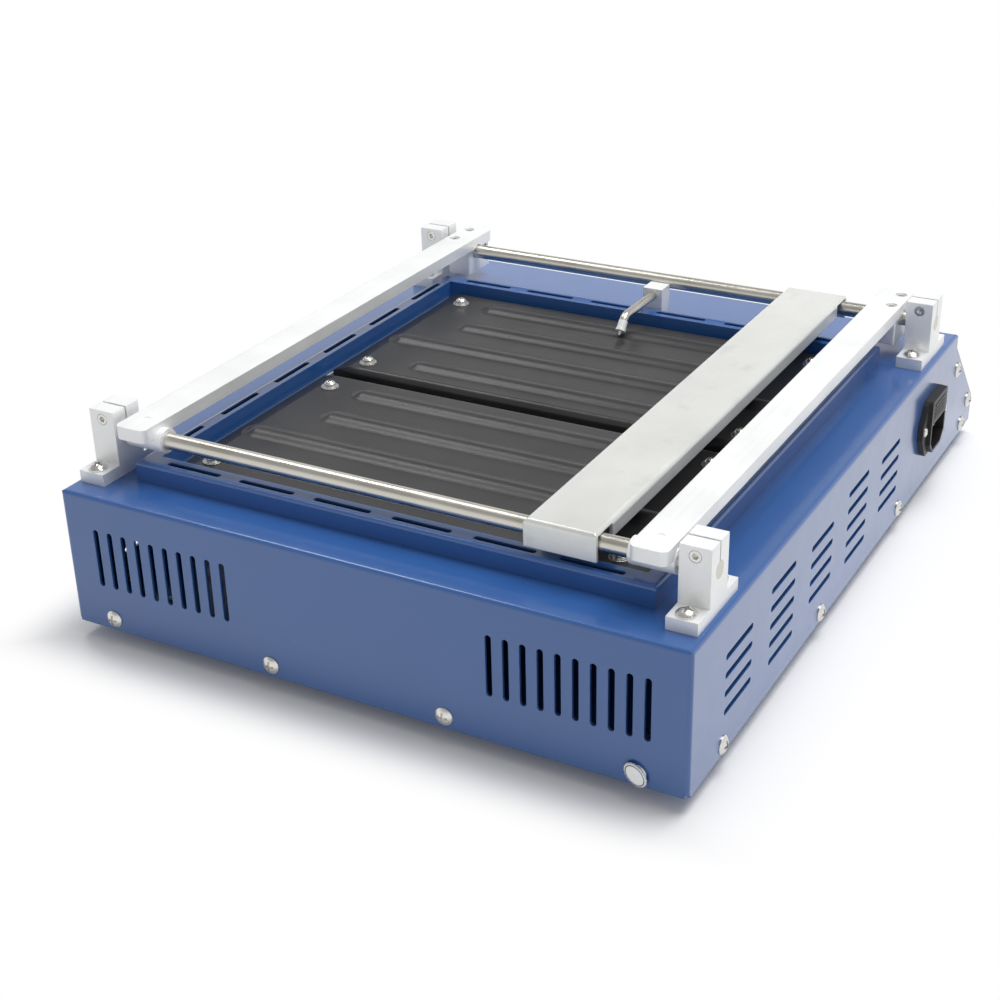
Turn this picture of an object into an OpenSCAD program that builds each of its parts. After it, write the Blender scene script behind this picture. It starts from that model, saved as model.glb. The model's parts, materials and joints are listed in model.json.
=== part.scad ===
// Infrared board preheater: a sheet metal case with two heater plates under a raised rim,
// and two clamp rails and a slider plate that slide across on two guide rods.
// Axes: +Z up, +Y towards the rear panel, -Y towards the slanted control panel.

/* [Case] */
// Width of the case across its side walls
body_w = 320; // [290:1:360]
// Depth of the case from the rear panel to the front edge
body_d = 420; // [408:1:470]
// Height of the case above its feet
body_h = 70; // [66:1:90]
// Thickness of the case sheet metal
sheet = 1.5; // [1:0.1:2]
// Height of the fold at the front of the top
lip_h = 8; // [5:0.5:10]
// Height of the upright strip below the slanted panel
front_base_h = 16; // [14:0.5:18]
// Outer radius of the folds round the top
fold_r = 2; // [1.6:0.1:3]
// Height of the base tray's upturned edge
tray_edge_h = 11; // [9:0.5:12]
// Height of the rubber feet
foot_h = 8; // [6:0.5:14]
// Widest radius of a foot
foot_r = 11; // [9:0.5:14]
// Distance of the feet from the case edges
foot_inset = 32; // [28:1:45]

/* [Vents] */
// Width of every ventilation slot
slot_w = 3; // [2:0.1:3.6]
// Length of every ventilation slot
slot_l = 30; // [24:1:32]
// Height of the rear vents' middle above the case bottom
rear_vent_z = 38; // [34:0.5:42]
// Height of the side vents' middle above the case bottom
side_vent_z = 34; // [32:0.5:38]
// Slots in each rear vent field
rear_vent_count = 10; // [6:1:10]
// Spacing of the rear slots
rear_vent_pitch = 8.1; // [6:0.1:8.6]
// Middle of each rear vent field, from the case side
rear_vent_in = 55; // [54:1:62]
// Vent columns on each side wall
side_vent_cols = 5; // [3:1:5]
// Last side vent column, from the front edge
side_vent_front = 163; // [150:0.5:172]
// Spacing of the slots in one side column
side_row_pitch = 9; // [7:0.1:9.4]
// First side vent column, from the rear panel
side_vent_y = 51; // [46:0.5:56]

/* [Heater] */
// Distance of the rim's opening from the case sides
well_side = 34.5; // [33.5:0.5:44]
// Depth of the opening inside the raised rim
well_d = 270; // [244:1:280]
// Distance of the opening from the rear panel
well_rear = 34; // [32:0.5:37]
// Width of the rim's side flanges
rim_side = 8; // [7:0.5:9]
// Width of the rim's front and rear flanges
rim_end = 10; // [8.5:0.5:11]
// Outer radius of the rim's top edges
rim_r = 1.8; // [1.3:0.1:2.4]
// Height of the rim above the case top
rim_h = 10; // [8:0.5:11.5]
// Thickness of the rim, heater tray and heater plate sheet
thin_sheet = 1.2; // [0.8:0.1:1.4]
// Slots along each flange of the rim
rim_slots = 6; // [4:1:6]
// Depth of the heater tray below the case top
tray_depth = 30; // [24:1:34]
// Height of the heater plates above the case top
plate_z = 5.5; // [4.5:0.5:6]
// Gap between the two heater plates
plate_gap = 9; // [6:0.5:12]
// Space round the heater plates inside the opening
plate_margin = 3.2; // [2.6:0.1:5]
// Depth of the plates' turned-down edges
plate_edge = 7; // [6:0.5:9]
// Bend radius of the plates' long edges
plate_bend_r = 4; // [3:0.5:5]
// Width of the plates' sloped ends
plate_slope_w = 10; // [8:0.5:12]
// Height of the pressed beads
bead_h = 2.4; // [1.6:0.1:2.6]
// Half width of the beads
bead_half = 9; // [7.5:0.5:10]
// Distance of the outer beads from the plates' long edges
bead_edge = 18.6; // [17:0.1:22]
// Distance of the plate screws from the plate ends
plate_screw_x = 16; // [14:0.5:18]
// Distance of the rear plate screws from a plate's rear edge
plate_screw_rear = 10; // [9:0.5:14]
// Distance of the front plate screws from a plate's front edge
plate_screw_front = 17.5; // [11:0.5:18]

/* [Guide rods] */
// Diameter of the guide rods
rod_d = 8; // [7:0.1:9]
// Height of the rod axis above the case top
rod_h = 20; // [19.5:0.1:22]
// Distance of the rear rod from the rear panel
rod_rear = 32.5; // [31:0.5:36]
// Distance of the front rod from the rim
rod_front_gap = 19.5; // [18:0.5:24]
// Thickness of a shaft support
support_t = 14; // [12:0.5:16]
// Length of a shaft support's foot
support_l = 42; // [40:0.5:44]
// Width of a shaft support's upright
support_up_w = 18; // [17:0.5:20]
// Thickness of a shaft support's foot
support_foot_t = 6; // [5:0.5:8]
// Height of a shaft support
support_h = 32.8; // [32.5:0.1:36]
// Distance of the supports' middle from the case sides
support_inset = 10; // [9:0.5:11]
// Spacing of the screws in a support's foot
support_screw_pitch = 32; // [31:0.5:33]

/* [Clamp rails] */
// Width of a clamp rail
rail_w = 17; // [15:0.5:19]
// Thickness of a clamp rail
rail_t = 6.5; // [6:0.1:8]
// Height of a rail's underside above the rod axis
rail_rise = 2.5; // [2.2:0.1:3]
// Gap between a rail and the shaft supports at rest
rail_gap = 3.5; // [2:0.5:6]
// Length of a rail behind the rear rod
rail_rear = 13; // [11:0.5:15]
// Length of a rail in front of the front rod
rail_front = 20; // [18:0.5:22]
// Corner radius of a rail's rear end
rail_rear_r = 3.5; // [2:0.5:5]
// Corner radius of a rail's front end
rail_front_r = 7; // [4:0.5:7]
// Length of the block under a rail's front end
block_l = 28; // [26:0.5:30]
// Height of the block under a rail's front end
block_h = 15; // [13:0.5:15]
// How far the block is set back from the rail's sides
block_inset = 1.5; // [0.5:0.5:2]
// Outer diameter of the sleeve under a rail's rear end
sleeve_d = 12; // [11:0.5:13]
// How far the sleeve stands out of the rail's inner side
sleeve_out = 3.5; // [1:0.5:4]

/* [Slider plate] */
// Width of the slider plate
slider_w = 34; // [28:1:44]
// Thickness of the slider plate's sheet
slider_t = 1.5; // [1:0.1:2]
// Gap between the slider plate and the right rail at rest
slider_gap = 17; // [15:0.5:30]
// Depth of the slider plate's end lips below the rod axis
slider_lip = 7; // [6:0.5:8]
// Depth of the slider plate's side flanges
slider_flange = 8; // [6:0.5:8]
// Outer radius of the slider plate's bends
slider_r = 2.4; // [2.1:0.1:3]
// Distance of the side flanges from the rod axes
slider_notch = 9.5; // [8:0.5:14]

/* [Sensor] */
// Distance of the sensor post from the centre line
post_x = 0.8; // [-4:0.1:4]
// Width of the sensor post
post_w = 11.5; // [10:0.5:13]
// Depth of the sensor post
post_d = 11; // [9:0.5:11]
// Height of the sensor post
post_h = 20; // [18:0.5:20]
// Diameter of the sensor tube
tube_d = 4.8; // [4:0.1:5.2]
// How far the bend starts in front of the first bead
tube_back = 1.8; // [1:0.1:2.4]
// Radius of the tube's bend
tube_bend_r = 6; // [5:0.5:6]
// Angle of the tube's bend
tube_bend = 50; // [40:1:51]

/* [Mains inlet] */
// Width of the inlet's raised face
inlet_w = 27; // [26.5:0.5:30]
// Height of the inlet's flange and face
inlet_h = 31.5; // [31:0.5:36]
// Thickness of the inlet's flange and face together
inlet_t = 5; // [4.5:0.5:6]
// Thickness of the inlet's flange alone
inlet_flange_t = 3; // [2:0.5:4]
// How far the flange's screw ears stand out of the face's sides
inlet_ear = 8.5; // [6:0.5:10]
// Distance of the inlet's middle from the front edge
inlet_front = 92; // [84:1:98]
// Height of the inlet's middle above the case bottom
inlet_z = 36.75; // [34:0.25:38]

/* [Controls] */
// Width of the temperature controller's bezel
ctrl_w = 96; // [90:1:104]
// Height of the temperature controller's bezel
ctrl_h = 46; // [44:0.5:48]
// Thickness of the temperature controller's bezel
ctrl_t = 7; // [6:0.5:9]
// Distance of the controller's middle from the zone switches
ctrl_step = 89; // [82:1:96]
// Distance of the power switch's middle from the case side
power_in = 52; // [44:1:56]
// Distance of the zone switches' middle from the power switch
zone_step = 49; // [44:1:56]
// Spacing of the two zone switches
zone_pitch = 28; // [25:0.5:30]

/* [Hidden] */
$fn = 48;
eps = 0.01;

// Heights and main places
case_z = foot_h;
top_z = foot_h + body_h;
rear_y = body_d / 2;
front_y = -body_d / 2;
side_x = body_w / 2;
slope_rise = body_h - lip_h - front_base_h;
lip_y = front_y + slope_rise;
slope_len = slope_rise * sqrt(2);
well_w = body_w - 2 * well_side;
well_y = rear_y - well_rear - well_d / 2;
rim_front_y = well_y - well_d / 2 - rim_end;
rear_vent_x = side_x - rear_vent_in;
side_vent_pitch = (body_d - side_vent_y - side_vent_front) / (side_vent_cols - 1);
power_x = side_x - power_in;
zone_x = power_x - zone_step;
ctrl_x = zone_x - ctrl_step;
inlet_y = front_y + inlet_front;
rod_z = top_z + rod_h;
rod_r = rod_d / 2;
rod_rear_y = rear_y - rod_rear;
rod_front_y = rim_front_y - rod_front_gap;
rod_pitch = rod_rear_y - rod_front_y;
support_x = side_x - support_inset;

// Fits: a free gap between moving pieces, a running fit, and a hole round a screw
free_gap = 0.3;
run_fit = 0.05;
hole_gap = 0.15;

// Colours
blue = [0.16, 0.31, 0.62];
black = [0.13, 0.13, 0.14];
alu = [0.84, 0.85, 0.86];
steel = [0.72, 0.71, 0.68];

// Screws: shank radius, head radius, head height, shank length
CASE_SCREW = [2, 4.4, 2.3, 6];
SUPPORT_SCREW = [2.5, 4.5, 3, 9];
PLATE_SCREW = [1.5, 3, 2.3, 12];
RAIL_SCREW = [1.5, 2.9, 1.2, 12];
FOOT_SCREW = [2, 3.7, 2.3, 6];

// A pan head screw with a cross recess, seated at z = 0 with its shank downwards
module pan_screw(s) {
    dome_r = (s[1] * s[1] + s[2] * s[2]) / (2 * s[2]) * 1.15;
    recess = [s[1] * 1.1, s[1] * 0.26, s[2] * 0.5];
    difference() {
        union() {
            rotate_extrude()
                intersection() {
                    translate([0, s[2] - dome_r]) circle(dome_r, $fn = 96);
                    square([s[1], s[2]]);
                }
            translate([0, 0, -s[3]]) cylinder(r = s[0], h = s[3] + eps);
        }
        for (turn = [0, 90])
            rotate(turn)
                translate([-recess[0] / 2, -recess[1] / 2, s[2] - recess[2]])
                    cube([recess[0], recess[1], recess[2] + 1]);
    }
}

// A box that is centred across and stands on z = 0
module block(size) {
    translate([-size[0] / 2, -size[1] / 2, 0]) cube(size);
}

// A flat rectangle with four round corners, made of true arcs
module round_rect(w, l, r_front, r_rear) {
    translate([-w / 2, -l / 2 + r_front]) square([w, l - r_front - r_rear]);
    translate([-w / 2 + r_front, -l / 2]) square([w - 2 * r_front, r_front]);
    translate([-w / 2 + r_rear, l / 2 - r_rear]) square([w - 2 * r_rear, r_rear]);
    for (s = [-1, 1]) {
        translate([s * (w / 2 - r_front), -l / 2 + r_front]) circle(r_front);
        translate([s * (w / 2 - r_rear), l / 2 - r_rear]) circle(r_rear);
    }
}

// A flat slot with round ends, along x
module slot_outline(l, w) {
    square([l - w, w], center = true);
    for (s = [-1, 1]) translate([s * (l - w) / 2, 0]) circle(w / 2);
}

// Slot cutters through a wall: facing up, facing the rear and facing a side
module slot_up(l, w, deep) {
    translate([0, 0, -deep / 2]) linear_extrude(deep) slot_outline(l, w);
}

module slot_upright_rear(l, w, deep) {
    rotate([90, 0, 0]) translate([0, 0, -deep / 2]) linear_extrude(deep) rotate(90) slot_outline(l, w);
}

module slot_side(l, w, deep) {
    rotate([90, 0, 90]) translate([0, 0, -deep / 2]) linear_extrude(deep) slot_outline(l, w);
}

// A profile drawn in y and z, extruded across x and centred
module across(w) {
    translate([-w / 2, 0, 0]) rotate([90, 0, 90]) linear_extrude(w) children();
}

// Puts children on the slanted panel: x across, y up the slope, z outwards
module on_slope(x, up) {
    translate([0, front_y, case_z + front_base_h])
        rotate([45, 0, 0])
            translate([x, slope_len / 2 + up, 0])
                children();
}

// Puts children on the right-hand wall: x up, y along the wall, z outwards
module on_right_wall(y, z) {
    translate([-side_x, y, z]) rotate([0, -90, 0]) children();
}

// Case screw places: x on the rear wall, then y and z on each side wall
rear_screw_in = 23;
rear_screw_up = 4.5;
side_screw_up = 3.5;
side_screw_rear = 36;
side_screw_front = 141;
corner_screw_in = 20;
strip_screw_in = 9;
slope_screw_in = 5.5;
slope_screw_drop = 15.5;
rear_screw_x = side_x - rear_screw_in;
REAR_SCREW_X = [-rear_screw_x, -rear_screw_x / 3, rear_screw_x / 3, rear_screw_x];
REAR_SCREW_Z = case_z + sheet + rear_screw_up;
SIDE_SCREW_Z = case_z + sheet + side_screw_up;
SIDE_SCREWS = [
    [rear_y - side_screw_rear, SIDE_SCREW_Z],
    [(rear_y - side_screw_rear + front_y + side_screw_front) / 2, SIDE_SCREW_Z],
    [front_y + side_screw_front, SIDE_SCREW_Z],
    [front_y + corner_screw_in, SIDE_SCREW_Z],
    [front_y + strip_screw_in, case_z + front_base_h],
    [lip_y - slope_screw_in, top_z - lip_h - slope_screw_drop]
];

module at_rear_screws() {
    for (x = REAR_SCREW_X)
        translate([x, rear_y, REAR_SCREW_Z]) rotate([-90, 0, 0]) children();
}

module at_side_screws(side) {
    for (p = SIDE_SCREWS)
        translate([side * side_x, p[0], p[1]]) rotate([0, side * 90, 0]) children();
}

module screw_hole(s, deep) {
    translate([0, 0, -deep]) cylinder(r = s[0] + hole_gap, h = deep + 1);
}

// Places of the feet, supports, heater screws and heater plates
FOOT_XY = [for (x = [-1, 1], y = [-1, 1]) [x * (side_x - foot_inset), y * (rear_y - foot_inset)]];
SUPPORT_XY = [for (x = [-1, 1], y = [rod_rear_y, rod_front_y]) [x * support_x, y]];
plate_w = well_w - 2 * plate_margin;
plate_l = (well_d - 2 * plate_margin - plate_gap) / 2;
plate_rear_y = well_y + (plate_l + plate_gap) / 2;
plate_front_y = well_y - (plate_l + plate_gap) / 2;
plate_top = top_z + plate_z;
plate_under = plate_top - thin_sheet;
bead_pitch = (plate_l - 2 * bead_edge) / 3;
PLATE_SCREW_Y = [plate_l / 2 - plate_screw_rear, plate_screw_front - plate_l / 2];
HEATER_SCREW_XY = [
    for (y = [plate_rear_y, plate_front_y], sx = [-1, 1], sy = PLATE_SCREW_Y)
        [sx * (plate_w / 2 - plate_screw_x), y + sy]
];

// Case

module base_tray() {
    w = body_w - 2 * sheet;
    l = body_d - 2 * sheet;
    color(blue)
        difference() {
            translate([0, 0, case_z]) block([w, l, tray_edge_h]);
            translate([0, 0, case_z + sheet]) block([w - 2 * sheet, l - 2 * sheet, tray_edge_h]);
            at_rear_screws() screw_hole(CASE_SCREW, 3 * sheet);
            for (side = [-1, 1]) at_side_screws(side) screw_hole(CASE_SCREW, 3 * sheet);
            for (p = FOOT_XY)
                translate([p[0], p[1], case_z - 1])
                    cylinder(r = FOOT_SCREW[0] + hole_gap, h = sheet + 2);
            for (x = [-1, 1], k = [-2 : 2])
                translate([x * body_w / 5, k * 4 * slot_w, case_z]) slot_up(2 * slot_l, slot_w, 4 * sheet);
        }
}

// A rectangle from two corner points, round only at its two upper corners
module arch(low, high, r) {
    w = high[0] - low[0];
    translate(low) square([w, high[1] - low[1] - r]);
    translate([low[0] + r, low[1]]) square([w - 2 * r, high[1] - low[1]]);
    for (x = [low[0] + r, high[0] - r]) translate([x, high[1] - r]) circle(r);
}

// The case seen from its side, with round folds at the rear and front of the top
module cover_profile() {
    arch([lip_y, top_z - lip_h], [rear_y, top_z], fold_r);
    polygon([
        [rear_y, case_z],
        [rear_y, top_z - lip_h],
        [lip_y, top_z - lip_h],
        [front_y, case_z + front_base_h],
        [front_y, case_z]
    ]);
}

// The case as one block, with round folds along its sides and its rear corners
module cover_form() {
    intersection() {
        across(body_w) cover_profile();
        translate([0, rear_y, 0])
            rotate([90, 0, 0])
                linear_extrude(body_d) arch([-side_x, case_z], [side_x, top_z], fold_r);
        translate([0, 0, case_z]) linear_extrude(body_h) arch([-side_x, front_y], [side_x, rear_y], fold_r);
    }
}

// Rounds off the rear wall's and the side walls' lower corners at the rear
corner_r = 3;

module corner_cut() {
    difference() {
        translate([-1, -1]) square(corner_r + 1);
        translate([corner_r, corner_r]) circle(corner_r);
    }
}

module corner_cuts() {
    for (s = [0, 1])
        mirror([s, 0, 0])
            translate([-side_x, rear_y, case_z]) {
                translate([0, 1, 0]) rotate([90, 0, 0]) linear_extrude(sheet + 1) corner_cut();
                translate([-1, 0, 0])
                    rotate([90, 0, 90]) linear_extrude(sheet + 1) mirror([1, 0]) corner_cut();
            }
}

module cover_hollow() {
    polygon([
        [rear_y - sheet, case_z - 1],
        [rear_y - sheet, top_z - sheet],
        [lip_y + sheet, top_z - sheet],
        [lip_y + sheet, top_z - lip_h],
        [front_y - 1, top_z - lip_h],
        [front_y - 1, case_z - 1]
    ]);
}

module side_vent_column(rows) {
    for (k = [0 : rows - 1])
        translate([0, 0, (k - (rows - 1) / 2) * side_row_pitch]) slot_side(slot_l, slot_w, 3 * sheet);
}

module cover_vents() {
    for (field = [-1, 1], k = [0 : rear_vent_count - 1])
        translate([
            field * rear_vent_x + (k - (rear_vent_count - 1) / 2) * rear_vent_pitch,
            rear_y,
            case_z + rear_vent_z
        ])
            slot_upright_rear(slot_l, slot_w, 3 * sheet);
    for (side = [-1, 1], c = [0 : side_vent_cols - 1])
        translate([side * side_x, rear_y - side_vent_y - c * side_vent_pitch, case_z + side_vent_z])
            side_vent_column(4 + c % 2);
}

module outer_cover() {
    color(blue)
        difference() {
            cover_form();
            across(body_w - 2 * sheet) cover_hollow();
            translate([0, well_y, top_z - 3 * sheet]) block([well_w, well_d, 4 * sheet]);
            cover_vents();
            corner_cuts();
            at_rear_screws() screw_hole(CASE_SCREW, 2 * sheet);
            for (side = [-1, 1]) at_side_screws(side) screw_hole(CASE_SCREW, 2 * sheet);
            for (p = SUPPORT_XY, s = [-1, 1])
                translate([p[0], p[1] + s * support_screw_pitch / 2, top_z])
                    screw_hole(SUPPORT_SCREW, 2 * sheet);
            on_right_wall(inlet_y, case_z + inlet_z)
                translate([0, 0, -2 * sheet]) block([inlet_body_h, inlet_body_w, 3 * sheet]);
        }
}

// The slanted panel is a folded strip with an inner flange at each end
panel_flange = 14;

module panel_strip() {
    polygon([
        [lip_y, top_z - lip_h],
        [front_y, case_z + front_base_h],
        [front_y, case_z],
        [front_y + sheet, case_z],
        [front_y + sheet, case_z + front_base_h + sheet * (1 - sqrt(2))],
        [lip_y + sheet * sqrt(2), top_z - lip_h]
    ]);
}

module panel_end_flange() {
    low = case_z + tray_edge_h;
    polygon([
        [lip_y + sheet * sqrt(2), top_z - lip_h],
        [front_y + sheet, case_z + front_base_h + sheet * (1 - sqrt(2))],
        [front_y + sheet, low],
        [front_y + sheet + panel_flange, low],
        [front_y + sheet + panel_flange, case_z + front_base_h],
        [lip_y + panel_flange, top_z - lip_h - sheet]
    ]);
}

module front_panel() {
    w = body_w - 2 * sheet;
    color(blue)
        difference() {
            union() {
                across(w) panel_strip();
                for (s = [-1, 1])
                    translate([s * (w - sheet) / 2, 0, 0]) across(sheet) panel_end_flange();
            }
            for (side = [-1, 1]) at_side_screws(side) screw_hole(CASE_SCREW, 4 * sheet);
            on_slope(ctrl_x, 0) translate([0, 0, -3 * sheet]) block([ctrl_body_w, ctrl_body_h, 4 * sheet]);
            on_slope(power_x, 0) translate([0, 0, -3 * sheet]) block(concat(switch_body(POWER), 4 * sheet));
            for (s = [-1, 1])
                on_slope(zone_x + s * zone_pitch / 2, 0)
                    translate([0, 0, -3 * sheet]) block(concat(switch_body(ZONE), 4 * sheet));
        }
}

module rubber_feet() {
    bore_r = FOOT_SCREW[1] + 0.6;
    color(black)
        for (p = FOOT_XY)
            translate([p[0], p[1], 0])
                difference() {
                    cylinder(r1 = foot_r - 1.5, r2 = foot_r, h = foot_h);
                    translate([0, 0, -1]) cylinder(r = bore_r, h = foot_h / 2 + 1);
                    cylinder(r = FOOT_SCREW[0] + hole_gap, h = foot_h + 1);
                }
}

module foot_screws() {
    color(steel)
        for (p = FOOT_XY)
            translate([p[0], p[1], foot_h / 2])
                rotate([180, 0, 0])
                    pan_screw([FOOT_SCREW[0], FOOT_SCREW[1], FOOT_SCREW[2], foot_h / 2 + sheet + 2]);
}

module rear_case_screws() {
    color(steel) at_rear_screws() pan_screw(CASE_SCREW);
}

module left_case_screws() {
    color(steel) at_side_screws(1) pan_screw(CASE_SCREW);
}

module right_case_screws() {
    color(steel) at_side_screws(-1) pan_screw(CASE_SCREW);
}

// Heater

module heater_rim() {
    w = well_w + 2 * rim_side;
    l = well_d + 2 * rim_end;
    t = thin_sheet;
    color(blue)
        translate([0, well_y, top_z])
            difference() {
                intersection() {
                    across(w) arch([-l / 2, 0], [l / 2, rim_h], rim_r);
                    translate([0, l / 2, 0])
                        rotate([90, 0, 0]) linear_extrude(l) arch([-w / 2, 0], [w / 2, rim_h], rim_r);
                }
                translate([0, 0, -1]) block([well_w, well_d, rim_h + 2]);
                difference() {
                    translate([0, 0, -1]) block([w - 2 * t, l - 2 * t, rim_h - t + 1]);
                    translate([0, 0, -2]) block([well_w + 2 * t, well_d + 2 * t, rim_h + 2]);
                }
                for (k = [0 : rim_slots - 1], s = [-1, 1]) {
                    along = (k - (rim_slots - 1) / 2) / rim_slots;
                    translate([along * (well_w - 5), s * (well_d + rim_end) / 2, rim_h])
                        slot_up(slot_l, slot_w, 4 * t);
                    translate([s * (well_w + rim_side) / 2, along * (well_d + 2), rim_h])
                        rotate(90) slot_up(slot_l, slot_w, 4 * t);
                }
            }
}

tray_out_w = well_w - 2 * free_gap;
tray_out_d = well_d - 2 * free_gap;
tray_floor_z = top_z - tray_depth;

tray_flange = 8;

module heater_tray() {
    flange = tray_flange;
    t = thin_sheet;
    color([0.7, 0.7, 0.7])
        translate([0, well_y, 0])
            difference() {
                union() {
                    translate([0, 0, tray_floor_z]) block([tray_out_w, tray_out_d, tray_depth]);
                    translate([0, 0, top_z - sheet - t])
                        block([tray_out_w + 2 * flange, tray_out_d + 2 * flange, t]);
                }
                translate([0, 0, tray_floor_z + t])
                    block([tray_out_w - 2 * t, tray_out_d - 2 * t, tray_depth + 1]);
            }
}

standoff_r = 4;

pad_gap = 4;
standoff_gap = 3;

module insulation_pad() {
    w = 2 * (plate_w / 2 - plate_screw_x - standoff_r - standoff_gap);
    color([0.9, 0.88, 0.8])
        translate([0, well_y, tray_floor_z + thin_sheet])
            block([w, tray_out_d - 2 * thin_sheet - 2 * pad_gap, tray_depth / 2]);
}

// Half lengths of the beads as shares of the plate's width, from its front edge to its rear edge
BEAD_SHARE = [0.38, 0.376, 0.474, 0.356];
bead_step = 0.5;
bead_sink = 0.12;
bead_top = bead_h + bead_sink;
bead_curve_r = (bead_half * bead_half / bead_top + bead_top) / 4;

// Half of a bead's section: a round crest and a hollow foot of the same radius
module bead_half_section() {
    mid = bead_half / 2;
    translate([0, -thin_sheet]) square([bead_half, thin_sheet]);
    intersection() {
        translate([0, bead_top - bead_curve_r]) circle(bead_curve_r);
        square([mid, bead_top]);
    }
    difference() {
        translate([mid, 0]) square([mid, bead_top / 2]);
        translate([bead_half, bead_curve_r]) circle(bead_curve_r);
    }
}

module bead_solid(half_l) {
    run = half_l - bead_half;
    across(2 * run) {
        bead_half_section();
        mirror([1, 0]) bead_half_section();
    }
    for (turn = [0, 180])
        rotate(turn)
            translate([run, 0, 0]) rotate(-90) rotate_extrude(angle = 180) bead_half_section();
}

module plate_beads() {
    for (k = [0 : len(BEAD_SHARE) - 1])
        translate([0, (k - (len(BEAD_SHARE) - 1) / 2) * bead_pitch, plate_top - bead_sink])
            bead_solid(round(BEAD_SHARE[k] * plate_w / bead_step) * bead_step);
}

// A plate seen from its end: a flat top with round bends down both long edges
module plate_section(inset) {
    r = plate_bend_r - inset;
    half = plate_l / 2 - inset;
    top = plate_top - inset;
    low = plate_top - plate_edge - inset;
    translate([-half, low]) square([2 * half, top - r - low]);
    translate([-half + r, low]) square([2 * half - 2 * r, top - low]);
    for (s = [-1, 1]) translate([s * (half - r), top - r]) circle(r);
}

// A plate seen from its long side: the ends slope down
module plate_side(inset) {
    half = plate_w / 2;
    top = plate_top - inset;
    drop = plate_slope_w * tan(16);
    polygon([
        [-half, plate_top - plate_edge - inset],
        [-half, top - drop],
        [-half + plate_slope_w, top],
        [half - plate_slope_w, top],
        [half, top - drop],
        [half, plate_top - plate_edge - inset]
    ]);
}

module plate_form(inset) {
    intersection() {
        across(plate_w) plate_section(inset);
        translate([0, plate_l / 2, 0]) rotate([90, 0, 0]) linear_extrude(plate_l) plate_side(inset);
    }
}

module heater_plate(y) {
    color(black)
        translate([0, y, 0])
            difference() {
                union() {
                    plate_form(0);
                    plate_beads();
                }
                plate_form(thin_sheet);
                for (sx = [-1, 1], sy = PLATE_SCREW_Y)
                    translate([sx * (plate_w / 2 - plate_screw_x), sy, plate_top])
                        screw_hole(PLATE_SCREW, 4 * thin_sheet);
            }
}

module heater_plate_rear() {
    heater_plate(plate_rear_y);
}

module heater_plate_front() {
    heater_plate(plate_front_y);
}

module heating_element(y) {
    w = 2 * (plate_w / 2 - plate_screw_x - standoff_r - standoff_gap);
    t = 4;
    color([0.8, 0.76, 0.66])
        translate([0, y, plate_under - t]) block([w, plate_l - 2 * plate_bend_r - 4, t]);
}

module heating_element_rear() {
    heating_element(plate_rear_y);
}

module heating_element_front() {
    heating_element(plate_front_y);
}

module heater_standoffs() {
    h = plate_under - tray_floor_z - thin_sheet;
    color(steel)
        for (p = HEATER_SCREW_XY)
            translate([p[0], p[1], tray_floor_z + thin_sheet])
                difference() {
                    cylinder(r = standoff_r, h = h);
                    translate([0, 0, h - PLATE_SCREW[3] - 2])
                        cylinder(r = PLATE_SCREW[0] + hole_gap, h = PLATE_SCREW[3] + 3);
                }
}

flat_washer_t = 0.8;
flat_washer_r = 4.6;
spring_washer_t = 0.9;
spring_washer_r = 2.8;
washer_t = flat_washer_t + spring_washer_t;

module heater_washers() {
    color(alu)
        for (p = HEATER_SCREW_XY)
            translate([p[0], p[1], plate_top])
                difference() {
                    union() {
                        cylinder(r = flat_washer_r, h = flat_washer_t);
                        cylinder(r = spring_washer_r, h = washer_t);
                    }
                    translate([0, 0, -1]) cylinder(r = PLATE_SCREW[0] + hole_gap, h = washer_t + 2);
                }
}

module heater_screws() {
    color(steel)
        for (p = HEATER_SCREW_XY)
            translate([p[0], p[1], plate_top + washer_t]) pan_screw(PLATE_SCREW);
}

// Temperature sensor: a bent tube held in a post on the case top

post_y = rod_front_y + rod_r + 0.6 + post_d / 2;
tube_r = tube_d / 2;
tube_rise = 4;
tube_z = top_z + post_h - tube_rise;
tube_end_y = plate_front_y - 1.5 * bead_pitch - tube_back;
tube_drop_l = 4.5;
tube_tip_y = tube_end_y + tube_bend_r * sin(tube_bend);
tube_tip_z = tube_z - tube_bend_r * (1 - cos(tube_bend));

module sensor_post() {
    color(alu)
        translate([post_x, post_y, top_z])
            difference() {
                block([post_w, post_d, post_h]);
                translate([0, post_d / 2 + 1, post_h - tube_rise])
                    rotate([90, 0, 0]) cylinder(r = tube_r + run_fit, h = post_d - 2 + 1);
            }
}

// Puts children at the end of the tube's bend, with z along the tube
module at_tube_end() {
    translate([post_x, tube_tip_y, tube_tip_z]) rotate([-90 - tube_bend, 0, 0]) children();
}

module sensor_tube() {
    start_y = post_y - post_d / 2 + 2;
    color(steel) {
        translate([post_x, start_y, tube_z]) rotate([-90, 0, 0]) cylinder(r = tube_r, h = tube_end_y - start_y);
        translate([post_x, tube_end_y, tube_z - tube_bend_r])
            rotate([0, -90, 0])
                rotate_extrude(angle = tube_bend)
                    translate([tube_bend_r, 0]) circle(tube_r);
    }
}

// The ferrule on the tube's end, with a collar and a small probe point
module sensor_tip() {
    collar_h = 1.6;
    collar_out = 0.5;
    ferrule_out = 0.15;
    color(alu)
        at_tube_end() {
            cylinder(r = tube_r + ferrule_out, h = tube_drop_l);
            translate([0, 0, tube_drop_l - eps])
                cylinder(r = tube_r + collar_out, h = collar_h + eps);
            translate([0, 0, tube_drop_l + collar_h - eps]) cylinder(r1 = 1.1, r2 = 0.5, h = 2.2);
        }
}

// Guide rods and their supports

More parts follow.
